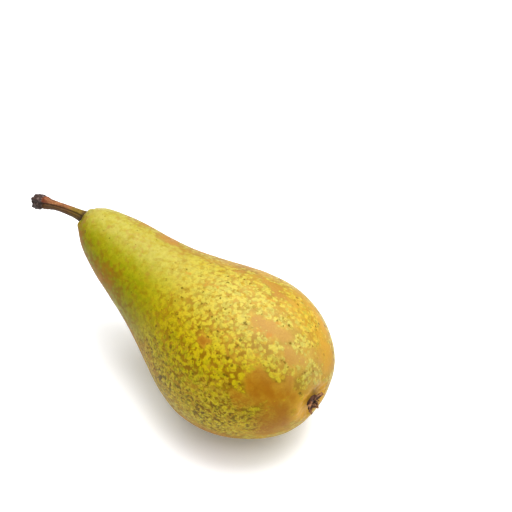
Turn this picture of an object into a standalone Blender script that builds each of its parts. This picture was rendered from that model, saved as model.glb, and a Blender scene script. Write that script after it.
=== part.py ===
"""A ripe pear lying on its side, in three pieces: the fruit, its woody stem and its dried calyx.

Metres, +Z up. The origin is the middle of the small flat spot that the pear rests on. The stem
end lies towards -X and the calyx end towards +X.

The fruit is a round body whose radius changes along its own axis. That axis is first laid
straight along +X from the stem end, then sags a little, and at the end the whole pear is leaned
so that its neck stands clear of the surface.
"""
import math

import bmesh
import bpy
import numpy as np
from mathutils import Matrix, Vector

MM = 0.001

# The fruit, measured along its own axis from the stem end.
FRUIT_LENGTH = 120.4 * MM
# The radius that a plain ball would have at even steps of angle from the stem end to the calyx
# end. The small values in the middle pull in the neck, the last ones make the broad blunt end.
FULLNESS = tuple(value * MM for value in (30.4, 21.8, 19.7, 22.7, 33.0, 39.1, 43.5, 55.0))
# The height of the fruit's middle line at even steps of length: the pear is a little bent.
SAG = tuple(value * MM for value in (3.9, -1.1, -5.9, -8.6, -5.8, -3.4))
NECK_RISE = math.radians(7)

# The underside has settled a little fuller below the weight of the fruit.
UNDERSIDE_FULLNESS = 2.8 * MM
UNDERSIDE_MIDDLE = 62 * MM
UNDERSIDE_REACH = 32 * MM
UNDERSIDE_SPREAD = math.radians(50)
FLAT_DEPTH = 1.1 * MM

# Slow swellings round the fruit, as every grown pear has. Each has its height, the part of the
# length where it is highest, how far it reaches, how often it comes round and where it starts.
SWELLINGS = (
    (0.35 * MM, 0.30, 0.28, 2, 0.7),
    (0.25 * MM, 0.66, 0.30, 3, 2.1),
    (0.30 * MM, 0.95, 0.16, 5, 0.4),
)
PLAIN_CAP_RADIUS = 4 * MM
ROUND_BODY_RADIUS = 14 * MM

# The shallow basin that holds the calyx, with its radial folds. It lies a little off the axis.
BASIN_Y = -1.6 * MM
BASIN_Z = 2.4 * MM
BASIN_DEPTH = 1.8 * MM
BASIN_FLOOR_RADIUS = 4.0 * MM
BASIN_RADIUS = 8.4 * MM
BASIN_FOLDS = 11
BASIN_FOLD_HEIGHT = 0.22 * MM
BASIN_FOLD_RADIUS = 7.2 * MM
BASIN_FOLD_REACH = 3.2 * MM

# The soft shoulder round the foot of the stem.
STEM_DIMPLE_DEPTH = 0.9 * MM
STEM_DIMPLE_RADIUS = 5.0 * MM

# The stem's middle line, from its foot inside the fruit to its end, before the pear is leaned.
STEM_LINE = (
    Vector((5.2, 0.2, 3.1)) * MM,
    Vector((0.2, 0.0, 3.9)) * MM,
    Vector((-6.8, -1.7, 4.2)) * MM,
    Vector((-14.0, -4.1, 3.9)) * MM,
    Vector((-22.6, -7.2, 2.6)) * MM,
)
# Stations are parts of the whole stem. It flares into the knob that once held it to the twig.
STEM_PROFILE = (
    (0.00, 1.75), (0.17, 2.05), (0.26, 1.95), (0.42, 1.62), (0.58, 1.55),
    (0.72, 1.72), (0.83, 2.15), (0.91, 2.75), (0.965, 2.65), (1.00, 2.0),
)
STEM_RIDGES = 5
STEM_RIDGE_HEIGHT = 0.13 * MM
STEM_FOOT_PART = 0.14
SOCKET_PART = 0.26
KNOB_START = 0.80
KNOB_FULL = 0.93
KNOB_FACE_RADIUS = 1.2 * MM
KNOB_LUMPS = 4
KNOB_LUMP_HEIGHT = 0.38 * MM
SEAT_GAP = 0.3 * MM

# The dried calyx: a low cup, five shrivelled sepals and the stubs of the stamens.
CUP_RADIUS = 2.4 * MM
CUP_HEIGHT = 1.0 * MM
CUP_WALL = 0.9 * MM
CUP_EDGE = 0.3 * MM
SEPAL_LENGTH = 2.8 * MM
SEPAL_HALF_WIDTH = 1.15 * MM
SEPAL_HALF_THICKNESS = 0.36 * MM
SEPAL_ROOT_HEIGHT = 0.55 * MM
# Parts of a sepal's length and of its half width.
SEPAL_OUTLINE = ((0, 0), (0, 0.75), (0.2, 1), (0.45, 0.9), (0.7, 0.62), (0.9, 0.36), (1, 0))
# For each sepal, in degrees: how far its root leans out of upright, and how far its tip curls in.
SEPALS = ((88, 95), (70, 62), (96, 150), (78, 30), (86, 118))
FIRST_SEPAL_TURN = 0.35
STAMENS = 7
STAMEN_LENGTH = 1.5 * MM
STAMEN_RADIUS = 0.33 * MM
STAMEN_ROOT_RADIUS = 0.75 * MM

STEPS_ROUND_FRUIT = 56
BODY_RINGS = 38
STEM_CAP_RADIUS = 7 * MM
STEM_CAP_RINGS = 7
CALYX_CAP_RADIUS = 12 * MM
CALYX_CAP_RINGS = 12
STEPS_ROUND_STEM = 20
STEPS_ALONG_STEM = 28
STEPS_ROUND_SOCKET = 16
STEPS_ROUND_CUP = 20
STEPS_ROUND_SEPAL = 10
STEPS_ROUND_STAMEN = 6
MERGE_DISTANCE = 0.001 * MM


def clear_scene():
    """Remove whatever the scene starts with."""
    for item in list(bpy.data.objects):
        bpy.data.objects.remove(item, do_unlink=True)


def material(name, colour, roughness):
    """Return a Principled material of one plain colour."""
    made = bpy.data.materials.new(name)
    made.use_nodes = True
    shader = made.node_tree.nodes["Principled BSDF"]
    shader.inputs["Base Color"].default_value = (*colour, 1.0)
    shader.inputs["Roughness"].default_value = roughness
    shader.inputs["Metallic"].default_value = 0.0
    made.diffuse_color = (*colour, 1.0)
    return made


def smooth_curve(stations, values):
    """Return a function that reads the natural cubic curve through values at rising stations."""
    count = len(stations)
    gaps = np.diff(stations)
    rises = np.diff(values)
    system = np.eye(count)
    wanted = np.zeros(count)
    for i in range(1, count - 1):
        system[i, i - 1:i + 2] = gaps[i - 1], 2 * (gaps[i - 1] + gaps[i]), gaps[i]
        wanted[i] = 6 * (rises[i] / gaps[i] - rises[i - 1] / gaps[i - 1])
    bends = np.linalg.solve(system, wanted)

    def read(place):
        i = min(max(int(np.searchsorted(stations, place)) - 1, 0), count - 2)
        ahead = (place - stations[i]) / gaps[i]
        behind = 1 - ahead
        straight = behind * values[i] + ahead * values[i + 1]
        curved = (behind ** 3 - behind) * bends[i] + (ahead ** 3 - ahead) * bends[i + 1]
        return straight + curved * gaps[i] ** 2 / 6

    return read


def ease(value, start, end):
    """Return 0 up to start, 1 from end on, and a smooth step between."""
    part = min(max((value - start) / (end - start), 0.0), 1.0)
    return part * part * (3 - 2 * part)


def swell(value, middle, reach):
    """Return 1 at the middle, falling smoothly to 0 at reach on either side."""
    distance = min(abs(value - middle) / reach, 1.0)
    return math.cos(distance * math.pi / 2) ** 2


fullness_at = smooth_curve(np.linspace(0, math.pi, len(FULLNESS)), FULLNESS)
sag_at = smooth_curve(np.linspace(0, FRUIT_LENGTH, len(SAG)), SAG)


def turned(profile, steps):
    """Return a bmesh of a profile of (along X, radius) points turned round the X axis."""
    bm = bmesh.new()
    points = [bm.verts.new((along, 0, radius)) for along, radius in profile]
    edges = [bm.edges.new(pair) for pair in zip(points, points[1:])]
    bmesh.ops.spin(
        bm, geom=points + edges, cent=(0, 0, 0), axis=(1, 0, 0),
        angle=math.tau, steps=steps, use_merge=True,
    )
    bmesh.ops.remove_doubles(bm, verts=bm.verts, dist=MERGE_DISTANCE)
    return bm


def finish(bm, name, surface=None):
    """Turn a bmesh into a smooth shaded object with its faces pointing out."""
    bmesh.ops.recalc_face_normals(bm, faces=bm.faces)
    if bm.calc_volume(signed=True) < 0:
        bmesh.ops.reverse_faces(bm, faces=bm.faces)
    mesh = bpy.data.meshes.new(name)
    bm.to_mesh(mesh)
    bm.free()
    mesh.shade_smooth()
    made = bpy.data.objects.new(name, mesh)
    bpy.context.scene.collection.objects.link(made)
    if surface:
        mesh.materials.append(surface)
    return made


def apply_boolean(target, operation, cutter=None, collection=None):
    """Join or cut with the exact solver and keep the result as the target's own mesh."""
    change = target.modifiers.new("Boolean", "BOOLEAN")
    change.operation = operation
    change.solver = "EXACT"
    if collection:
        change.operand_type = "COLLECTION"
        change.collection = collection
    else:
        change.object = cutter
    bpy.context.view_layer.objects.active = target
    bpy.context.view_layer.update()
    evaluated = target.evaluated_get(bpy.context.evaluated_depsgraph_get())
    result = bpy.data.meshes.new_from_object(evaluated)
    target.modifiers.remove(change)
    target.data = result
    used = [cutter] if cutter else list(collection.objects)
    for item in used:
        bpy.data.objects.remove(item, do_unlink=True)


def fruit_profile():
    """Return the outer line of the fruit, with its rings set closer at the two ends."""
    stem_radii = np.linspace(0, STEM_CAP_RADIUS, STEM_CAP_RINGS)
    calyx_radii = np.linspace(CALYX_CAP_RADIUS, 0, CALYX_CAP_RINGS)
    angles = [math.asin(radius / FULLNESS[0]) for radius in stem_radii]
    calyx_angles = [math.pi - math.asin(radius / FULLNESS[-1]) for radius in calyx_radii]
    angles += list(np.linspace(angles[-1], calyx_angles[0], BODY_RINGS)[1:-1])
    angles += calyx_angles
    profile = []
    for angle in angles:
        along = FRUIT_LENGTH / 2 * (1 - math.cos(angle))
        profile.append((along, math.sin(angle) * fullness_at(angle)))
    return profile


def swelling(along, radius, turn):
    """Return how far the grown fruit stands out of its turned form at one point."""
    part = along / FRUIT_LENGTH
    grown = 0
    for height, middle, reach, times, start in SWELLINGS:
        grown += height * swell(part, middle, reach) * math.cos(times * turn + start)
    below = abs(math.remainder(turn - math.pi, math.tau))
    rest = UNDERSIDE_FULLNESS * swell(along, UNDERSIDE_MIDDLE, UNDERSIDE_REACH)
    rest *= swell(below, 0, UNDERSIDE_SPREAD)
    return grown * ease(radius, PLAIN_CAP_RADIUS, ROUND_BODY_RADIUS) + rest


def basin_depth(y, z):
    """Return how far the calyx end is pressed in at a point beside the fruit's axis."""
    radius = math.hypot(y - BASIN_Y, z - BASIN_Z)
    turn = math.atan2(y - BASIN_Y, z - BASIN_Z)
    bowl = BASIN_DEPTH * (1 - ease(radius, BASIN_FLOOR_RADIUS, BASIN_RADIUS))
    folds = math.cos(BASIN_FOLDS * turn) + 0.5 * math.cos((BASIN_FOLDS - 4) * turn + 1.3)
    return bowl + BASIN_FOLD_HEIGHT * swell(radius, BASIN_FOLD_RADIUS, BASIN_FOLD_REACH) * folds


def lean(point):
    """Raise the neck: turn a point about the Y axis."""
    return Matrix.Rotation(NECK_RISE, 4, "Y") @ point


def make_fruit(surface):
    """Make the whole fruit, before its stem socket and its flat spot are cut."""
    bm = turned(fruit_profile(), STEPS_ROUND_FRUIT)
    for vert in bm.verts:
        along = vert.co.x
        radius = math.hypot(vert.co.y, vert.co.z)
        turn = math.atan2(vert.co.y, vert.co.z)
        radius += swelling(along, radius, turn)
        y = radius * math.sin(turn)
        z = radius * math.cos(turn)
        height = sag_at(along) + z
        if along > FRUIT_LENGTH / 2:
            along -= basin_depth(y, z)
        else:
            along += STEM_DIMPLE_DEPTH * swell(radius, 0, STEM_DIMPLE_RADIUS)
        vert.co = lean(Vector((along, y, height)))
    return finish(bm, "fruit", surface)


def stem_frame(line, part):
    """Return the stem's middle point at a part of its length, and the two axes across it."""
    middle = Vector([axis(part) for axis in line])
    ahead = Vector([axis(part + 0.01) - axis(part - 0.01) for axis in line]).normalized()
    side = ahead.cross(Vector((0, 0, 1))).normalized()
    return middle, side, side.cross(ahead)


def bark_relief(part, turn):
    """Return how far the stem's ridges and the lumps of its knob stand out at one point."""
    ridge = 0.7 * math.cos(STEM_RIDGES * turn) + 0.4 * math.cos(3 * turn + 1.1)
    lumps = math.cos(KNOB_LUMPS * turn + 9 * part) + 0.5 * math.cos(7 * turn - 22 * part)
    free = ease(part, STEM_FOOT_PART, STEM_FOOT_PART + 0.2)
    knob = ease(part, KNOB_START, KNOB_FULL)
    return STEM_RIDGE_HEIGHT * ridge * free + KNOB_LUMP_HEIGHT * lumps * knob


def along_stem(profile, steps, relief):
    """Turn a profile of (part of the stem, radius) points and lay it along the stem's line."""
    stations = np.linspace(0, 1, len(STEM_LINE))
    line = [smooth_curve(stations, [point[axis] for point in STEM_LINE]) for axis in range(3)]
    bm = turned(profile, steps)
    for vert in bm.verts:
        part = vert.co.x
        radius = math.hypot(vert.co.y, vert.co.z)
        turn = math.atan2(vert.co.y, vert.co.z)
        if radius > MERGE_DISTANCE:
            radius += relief(part, turn)
        middle, side, above = stem_frame(line, part)
        vert.co = lean(middle + side * radius * math.sin(turn) + above * radius * math.cos(turn))
    return bm


def stem_radius():
    """Return the function that gives the stem's radius at a part of its length."""
    parts, radii = zip(*STEM_PROFILE)
    return smooth_curve(parts, [radius * MM for radius in radii])


def make_stem(surface):
    """Make the woody stem with its ridges, its flared foot and its knob."""
    radius_at = stem_radius()
    profile = [(0, 0)]
    profile += [(part, radius_at(part)) for part in np.linspace(0, 1, STEPS_ALONG_STEM)]
    profile += [(1.012, KNOB_FACE_RADIUS), (1.006, 0)]
    return finish(along_stem(profile, STEPS_ROUND_STEM, bark_relief), "stem", surface)


def make_socket():
    """Make the cutter for the hole that the stem's foot sits in."""
    radius_at = stem_radius()
    floor = -SEAT_GAP / sum((b - a).length for a, b in zip(STEM_LINE, STEM_LINE[1:]))
    profile = [(floor, 0)]
    for part in np.linspace(floor, SOCKET_PART, 6):
        profile.append((part, radius_at(part) + SEAT_GAP))
    profile.append((SOCKET_PART, 0))
    bm = along_stem(profile, STEPS_ROUND_SOCKET, lambda part, turn: 0)
    return finish(bm, "stem_socket")


def calyx_frame():
    """Return the matrix from the calyx's own frame, +Z out of the fruit, to the pear."""
    end = FRUIT_LENGTH
    floor = Vector((end - BASIN_DEPTH + SEAT_GAP, BASIN_Y, sag_at(end) + BASIN_Z))
    facing = Matrix.Rotation(math.pi / 2, 4, "Y")
    return Matrix.Rotation(NECK_RISE, 4, "Y") @ Matrix.Translation(floor) @ facing


def make_cup():
    """Make the low cup that the sepals grow from."""
    inner = CUP_RADIUS - CUP_WALL
    outline = (
        (0, 0),
        (0, CUP_RADIUS - CUP_EDGE),
        (CUP_EDGE, CUP_RADIUS),
        (CUP_HEIGHT, CUP_RADIUS),
        (CUP_HEIGHT, inner),
        (CUP_HEIGHT / 2, inner - CUP_EDGE),
        (CUP_HEIGHT / 2, 0),
    )
    bm = turned(outline, STEPS_ROUND_CUP)
    bmesh.ops.transform(bm, matrix=Matrix.Rotation(-math.pi / 2, 4, "Y"), verts=bm.verts)
    return finish(bm, "calyx")


def make_sepal(index):
    """Make one shrivelled sepal: a narrow leaf that leans out and curls back in at its tip."""
    outline = [(part * SEPAL_LENGTH, wide * SEPAL_HALF_WIDTH) for part, wide in SEPAL_OUTLINE]
    bm = turned(outline, STEPS_ROUND_SEPAL)
    start, curl = (math.radians(angle) for angle in SEPALS[index])
    thin = SEPAL_HALF_THICKNESS / SEPAL_HALF_WIDTH
    for vert in bm.verts:
        along, across, thick = vert.co
        heading = start - curl * along / SEPAL_LENGTH
        bend_radius = SEPAL_LENGTH / curl
        out = bend_radius * (math.cos(heading) - math.cos(start))
        up = bend_radius * (math.sin(start) - math.sin(heading))
        aside = thick * thin - 0.25 * across * across / SEPAL_HALF_WIDTH
        root = CUP_RADIUS - CUP_WALL / 2
        vert.co.x = root + out + aside * math.cos(heading)
        vert.co.z = SEPAL_ROOT_HEIGHT + up - aside * math.sin(heading)
    around = Matrix.Rotation(math.tau * index / len(SEPALS) + FIRST_SEPAL_TURN, 4, "Z")
    bmesh.ops.transform(bm, matrix=around, verts=bm.verts)
    return finish(bm, f"sepal_{index}")


def make_stamen(index):
    """Make one dry stamen stub, leaning out from the middle of the cup."""
    bm = bmesh.new()
    bmesh.ops.create_cone(
        bm, cap_ends=True, cap_tris=False, segments=STEPS_ROUND_STAMEN,
        radius1=STAMEN_RADIUS, radius2=STAMEN_RADIUS * 0.8, depth=STAMEN_LENGTH,
    )
    turn = math.tau * index / STAMENS
    root = Matrix.Translation((STAMEN_ROOT_RADIUS, 0, CUP_EDGE))
    lean_out = math.radians(14 + 9 * (index % 3))
    place = Matrix.Rotation(turn, 4, "Z") @ root @ Matrix.Rotation(lean_out, 4, "Y")
    place = place @ Matrix.Translation((0, 0, STAMEN_LENGTH / 2))
    bmesh.ops.transform(bm, matrix=place, verts=bm.verts)
    return finish(bm, f"stamen_{index}")


def make_calyx(surface):
    """Join the cup, its sepals and its stamens into one dried body in the basin."""
    cup = make_cup()
    grown = bpy.data.collections.new("grown")
    bpy.context.scene.collection.children.link(grown)
    pieces = [make_sepal(index) for index in range(len(SEPALS))]
    pieces += [make_stamen(index) for index in range(STAMENS)]
    for piece in pieces:
        bpy.context.scene.collection.objects.unlink(piece)
        grown.objects.link(piece)
    apply_boolean(cup, "UNION", collection=grown)
    bpy.data.collections.remove(grown)
    cup.data.transform(calyx_frame())
    cup.data.materials.clear()
    cup.data.materials.append(surface)
    return cup


def settle(pieces):
    """Cut the flat spot and bring its middle to the origin."""
    fruit = pieces[0]
    lowest = min(vert.co.z for vert in fruit.data.vertices)
    bm = bmesh.new()
    bm.from_mesh(fruit.data)
    level = lowest + FLAT_DEPTH
    geometry = list(bm.verts) + list(bm.edges) + list(bm.faces)
    cut = bmesh.ops.bisect_plane(
        bm, geom=geometry, plane_co=(0, 0, level), plane_no=(0, 0, -1), clear_outer=True,
    )
    rim = [item for item in cut["geom_cut"] if isinstance(item, bmesh.types.BMEdge)]
    filled = bmesh.ops.contextual_create(bm, geom=rim)
    flat = filled["faces"][0].calc_center_bounds()
    bmesh.ops.recalc_face_normals(bm, faces=bm.faces)
    bm.to_mesh(fruit.data)
    bm.free()
    for piece in pieces:
        piece.data.transform(Matrix.Translation((-flat.x, 0, -level)))


def main():
    clear_scene()
    skin = material("pear_skin", (0.42, 0.40, 0.06), 0.42)
    bark = material("stem_bark", (0.23, 0.11, 0.04), 0.75)
    dried = material("dried_calyx", (0.10, 0.05, 0.025), 0.85)
    fruit = make_fruit(skin)
    apply_boolean(fruit, "DIFFERENCE", cutter=make_socket())
    stem = make_stem(bark)
    calyx = make_calyx(dried)
    settle([fruit, stem, calyx])


main()
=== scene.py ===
"""A ripe pear lying on its side: its skin, its woody stem and its dried calyx, on a pale stage.

Metres, +Z up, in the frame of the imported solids. Each piece here stands for one of those solids.
The pear also has a frame of its own, which lies along its axis: +X from the stem end to the calyx
end and +Z to the side that lies uppermost. A place on the skin is given in it by how far along it
lies and by its turn round the axis, which is 0 uppermost and rises towards +Y.
"""

import math

import bpy
import numpy as np
from bpy.props import FloatProperty, FloatVectorProperty, IntProperty, PointerProperty
from bpy.types import Operator, Panel, PropertyGroup
from mathutils import Matrix, Vector
from mathutils.bvhtree import BVHTree


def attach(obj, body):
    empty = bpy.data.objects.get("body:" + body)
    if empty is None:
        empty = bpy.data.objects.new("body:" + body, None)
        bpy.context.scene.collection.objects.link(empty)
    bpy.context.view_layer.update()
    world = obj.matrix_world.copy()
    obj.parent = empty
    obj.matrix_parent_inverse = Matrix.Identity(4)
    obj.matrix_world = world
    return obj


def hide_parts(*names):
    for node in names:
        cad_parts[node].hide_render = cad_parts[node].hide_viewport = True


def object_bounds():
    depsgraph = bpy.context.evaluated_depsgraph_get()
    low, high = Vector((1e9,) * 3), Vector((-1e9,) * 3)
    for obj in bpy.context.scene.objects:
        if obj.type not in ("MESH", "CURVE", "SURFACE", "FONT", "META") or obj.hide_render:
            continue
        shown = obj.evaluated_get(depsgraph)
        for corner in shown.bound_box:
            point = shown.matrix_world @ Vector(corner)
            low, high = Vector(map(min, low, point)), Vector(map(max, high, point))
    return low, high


bl_info = {
    "name": "Pear",
    "version": (1, 0, 0),
    "blender": (4, 5, 0),
    "location": "3D View > Sidebar > Pear",
    "description": "Makes the skin, stem and calyx of a ripe pear, and a stage to see them on",
    "category": "Object",
}

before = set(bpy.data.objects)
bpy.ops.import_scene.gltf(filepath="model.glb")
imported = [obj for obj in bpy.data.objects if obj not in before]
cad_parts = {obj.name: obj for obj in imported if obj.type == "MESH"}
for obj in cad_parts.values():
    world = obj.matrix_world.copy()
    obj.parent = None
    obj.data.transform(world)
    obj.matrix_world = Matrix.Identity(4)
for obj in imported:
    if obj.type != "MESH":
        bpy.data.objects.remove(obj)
CAD_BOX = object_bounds()

MM = 0.001
MERGE_DISTANCE = 0.001 * MM

# The pear's own frame, as the solids have it.
STEM_END = Vector((-73.77, 0, 50.83)) * MM
NECK_RISE = math.radians(7)
OWN_TO_ROW = Matrix.Translation(STEM_END) @ Matrix.Rotation(NECK_RISE, 4, "Y")
ROW_TO_OWN = OWN_TO_ROW.inverted()
FRUIT_LENGTH = 120.4

# Beyond these places along, in millimetres, the skin belongs to the pear's stem end or calyx end.
STEM_SHOULDER = FRUIT_LENGTH * 0.1
CALYX_SHOULDER = FRUIT_LENGTH * 0.8

# The numbers that each point of the skin stores for its material. The pale one is partly a painted
# highlight, the green one partly painted shade, and the one of the folds by the stem painted shade.
SKIN_FIELDS = ("russet", "fresh", "pores", "grainy", "streaks", "ember", "golden", "pale", "crease")

# Where the russet lies thick on the skin. Each patch has its place along the pear in millimetres,
# its turn in degrees, how far it reaches along and round in millimetres, and how well it covers.
RUSSET_PATCHES = {
    "far side of the neck": (36, 60, 28, 8, 0.95),
    "shoulder of the belly": (68, 50, 18, 9, 0.76),
    "upper band": (85, 33, 12, 3.8, 1.12),
    "lit patch": (95, -8, 4.6, 4.6, 0.98),
    "below the lit patch": (103, -3, 8.5, 3.8, 1.12),
    "towards the calyx": (111, -12, 6.5, 4.4, 1.10),
    "big patch": (109, -57, 9.5, 6.6, 1.30),
    "upper end of the big patch": (112, -42, 5.0, 4.4, 1.15),
    "left end of the big patch": (103, -70, 4.6, 4.4, 1.15),
    "big patch by the calyx": (116, -80, 7.0, 9.0, 1.20),
    "lower edge": (114, -106, 9, 9, 1.15),
    "strip by the edge": (103, 52, 14, 5.0, 0.80),
    "strip end": (115, 44, 6.0, 8.0, 0.95),
    "shaded flank": (56, -112, 26, 8.0, 0.92),
    "shaded side of the neck": (22, -94, 20, 8.5, 0.74),
    "shoulder by the stem": (5, -70, 6, 6, 0.80),
    "star on the flank": (80.3, -49, 2.6, 2.2, 1.35),
    "under the edge": (92, -132, 18, 11, 1.00),
    "back of the belly": (92, 112, 15, 12, 1.00),
    "back of the waist": (58, 128, 12, 7, 0.80),
    "underside": (84, 172, 20, 12, 0.88),
    "underside of the neck": (34, -150, 16, 7, 0.70),
}
# Patches whose reach along is under this, in millimetres, have a finely jagged outline.
SMALL_PATCH = 4
# A patch is solid up to the first of these parts of its reach and has ended at the second.
PATCH_CORE = 0.35
PATCH_EDGE = 1.75
# Fine scratches lie here, in patches as above.
SCRATCHED = ((97, -98, 17, 12, 1), (70, -100, 22, 11, 1))
# Small orange marks: along and turn as above, and a radius in millimetres.
EMBERS = (
    (55.2, -4.8, 0.75), (64.5, -6.9, 0.70), (69.0, -0.8, 0.85), (88.9, 15.9, 0.85), (89.4, 5.2, 0.6),
    (97.8, 1.2, 0.6), (98.4, -13.5, 0.8), (94.8, -15.3, 0.65),
    (72.0, 84.0, 0.8), (96.0, 74.0, 0.9), (50.0, 110.0, 0.7), (102, 140, 0.8), (66.0, -140.0, 0.8),
)

# The stem's middle line in the pear's own frame, and its radius at parts of its length.
STEM_LINE = (
    Vector((5.2, 0.2, 3.1)) * MM,
    Vector((0.2, 0.0, 3.9)) * MM,
    Vector((-6.8, -1.7, 4.2)) * MM,
    Vector((-14.0, -4.1, 3.9)) * MM,
    Vector((-22.6, -7.2, 2.6)) * MM,
)
STEM_PROFILE = (
    (0.00, 1.9), (0.10, 2.25), (0.16, 2.70), (0.22, 3.00), (0.29, 2.75), (0.38, 2.30), (0.50, 1.98),
    (0.64, 1.86), (0.75, 1.98), (0.83, 2.42), (0.89, 2.95), (0.955, 2.95), (1.00, 2.3),
)
STEM_LENGTH = 28.8
STEM_FOOT = np.array(STEM_LINE[1]) / MM
# Rings on the face at the stem's end, round its middle.
END_RINGS = 9
# Turns of the furrows that part the stem's facets, in degrees from its uppermost side.
STEM_FURROWS = (-52, 66, 172)
# Where along the stem, as parts of its length, its knob is swollen, cut round and budded.
KNOB_CROWN = 0.835
KNOB_CUT = 0.872
KNOB_BUDS = 0.89
# The stem's socket in the fruit: its radius, and a depth that is past its floor.
SOCKET_REACH = 2.55 * MM
SOCKET_DEPTH = 6.5 * MM

# The calyx's own frame: +Z out of the fruit, from the floor of its basin.
CALYX_PLACE = Vector((118.9, -1.6, -1.0)) * MM
CALYX_SPOT = np.array(CALYX_PLACE) / MM
CALYX_TO_ROW = OWN_TO_ROW @ Matrix.Translation(CALYX_PLACE) @ Matrix.Rotation(math.pi / 2, 4, "Y")
# The darkest tone of the dried calyx, in the numbers that a shader takes.
CALYX_SHADOW = (0.015, 0.007, 0.0035)
# Faces round a stamen, and rings along it.
STAMEN_SIDES = 10
STAMEN_RINGS = 14

# The camera, and the side of the pear that the two soft lights stand on.
CAMERA_PLACE = Vector((241.789, -266.777, 454.483)) * MM
CAMERA_TARGET = Vector((-2.809, 22.189, 62.442)) * MM
CAMERA_LENS = 100
LIGHT_SIDE = Vector((0.13, 0.12, 0.97))
KEY_DISTANCE = 0.80
SHEEN_DISTANCE = 0.78


def srgb(red, green, blue):
    """Return a colour for a shader from the three numbers, 0 to 255, that a screen shows."""
    parts = [value / 255 for value in (red, green, blue)]
    return tuple(p / 12.92 if p <= 0.04045 else ((p + 0.055) / 1.055) ** 2.4 for p in parts)


def colour_property(name, description, shade):
    """Return a colour property whose default is a screen colour."""
    return FloatVectorProperty(
        name=name, description=description, default=srgb(*shade), subtype="COLOR", min=0, max=1,
    )


def length_property(name, description, default, **limits):
    """Return a property that holds a length."""
    return FloatProperty(name=name, description=description, default=default, unit="LENGTH", **limits)


class PearSkinSettings(PropertyGroup):
    """Sizes and colours of the skin."""

    mesh_size: length_property(
        "Mesh size", "Width of the faces that the skin is made of", 0.56 * MM, min=0.4 * MM,
    )
    swell_height: length_property(
        "Swell height", "Height of the slow dents and swellings of the skin", 0.55 * MM,
    )
    grain_height: length_property("Grain height", "Height of the fine unevenness of the skin", 0.07 * MM)
    fold_height: length_property(
        "Fold height", "Height of the folds that run out from the calyx", 0.15 * MM,
    )
    basin_rise: length_property(
        "Basin rise", "How far the floor of the basin rises under the calyx", 0.6 * MM,
    )
    roughness: FloatProperty(
        name="Roughness", description="How dull the waxy skin is", default=0.36, min=0, max=1,
        subtype="FACTOR",
    )
    ripe: colour_property("Ripe ground", "Yellow ground of the ripe skin", (155, 141, 15))
    deep: colour_property("Deep ground", "Deeper yellow between the clouds", (149, 126, 8))
    # Partly the neck's own green, partly painted shade on the neck's lower side and on the lower flank.
    green: colour_property("Green ground", "Green of the neck", (124, 127, 6))
    # Pale ground and pale island: partly the creamier sunny side, partly a painted highlight on the upper
    # side.
    pale: colour_property("Pale ground", "Creamy yellow of the upper side", (168, 160, 88))
    island: colour_property("Island", "Bright yellow left between the russet", (176, 156, 12))
    sunny_highlight_island: colour_property("Pale island", "Cream between the russet of the upper side", (180, 166, 78))
    thread: colour_property("Thread", "Light yellow of the fine scratches", (196, 176, 44))
    tan: colour_property("Thin russet", "Tan of thin russet", (165, 127, 28))
    amber: colour_property("Amber", "Golden russet on the lit side and by the calyx", (181, 136, 26))
    gold: colour_property("Gold", "Bright golden russet round the calyx", (206, 156, 52))
    russet: colour_property("Russet", "Orange brown of thick russet", (155, 109, 18))
    russet_dark: colour_property("Dark russet", "Brown of the thickest russet", (134, 81, 5))
    # Partly the russet's fawn on the sunny side, partly a painted highlight.
    sunny_highlight_russet: colour_property("Pale russet", "Fawn russet of the upper side", (164, 132, 72))
    lace: colour_property("Lace", "Olive brown net between the islands", (124, 90, 5))
    # Also the colour of the painted shade in the folds round the stem.
    freckle_and_fold_shade: colour_property("Freckle", "Dark olive of the breathing pores", (86, 69, 5))
    ember: colour_property("Ember", "Orange of the small marks", (168, 110, 40))


class PearStemSettings(PropertyGroup):
    """Sizes and colours of the stem."""

    steps_round: IntProperty(
        name="Steps round", description="Faces round the stem", default=96, min=24,
    )
    steps_along: IntProperty(
        name="Steps along", description="Faces along the stem", default=150, min=30,
    )
    ridge_height: length_property("Ridge height", "Height of the ridges that run along the stem", 0.17 * MM)
    bark: colour_property("Bark", "Tan of the bark's upper facet", (132, 84, 48))
    bark_dark: colour_property("Dark bark", "Brown of the bark's streaks", (84, 48, 24))
    # Painted shade: the darker olive brown of the stem's lower side.
    underside: colour_property("Lower facet", "Olive brown of the lower facet", (74, 50, 15))
    speck: colour_property("Speck", "Pale tan of the specks on the bark", (176, 126, 82))
    foot: colour_property("Foot", "Olive of the foot of the stem", (114, 97, 20))
    knob: colour_property("Knob", "Dark grey brown of the knob", (44, 35, 33))
    knob_pale: colour_property("Pale knob", "Grey of the knob's raised specks", (104, 88, 82))
    blush: colour_property("Blush", "Red touches on the bark", (112, 50, 32))
    # Painted shade laid in the bark's hollows and furrows, at the stem's sunken foot and in the cut round
    # the knob.
    crack_shade: colour_property("Crack", "Near black of the cracks and furrows", (37, 22, 12))


class PearCalyxSettings(PropertyGroup):
    """Sizes and colours of the calyx."""

    sepals: IntProperty(name="Sepals", description="Number of dried sepals", default=5, min=3)
    stamens: IntProperty(name="Stamens", description="Number of dry stamens", default=16, min=0)
    cup_radius: length_property("Cup radius", "Radius of the cup that the sepals grow from", 2.5 * MM)
    sepal_length: length_property("Sepal length", "Length of a dried sepal", 3.3 * MM)
    sepal_width: length_property("Sepal width", "Width of a dried sepal", 3.0 * MM)
    dry: colour_property("Dry", "Dark brown of the dried sepals", (76, 44, 25))
    pale: colour_property("Pale", "Tan of the sepals' edges and tips", (138, 93, 54))


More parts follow.
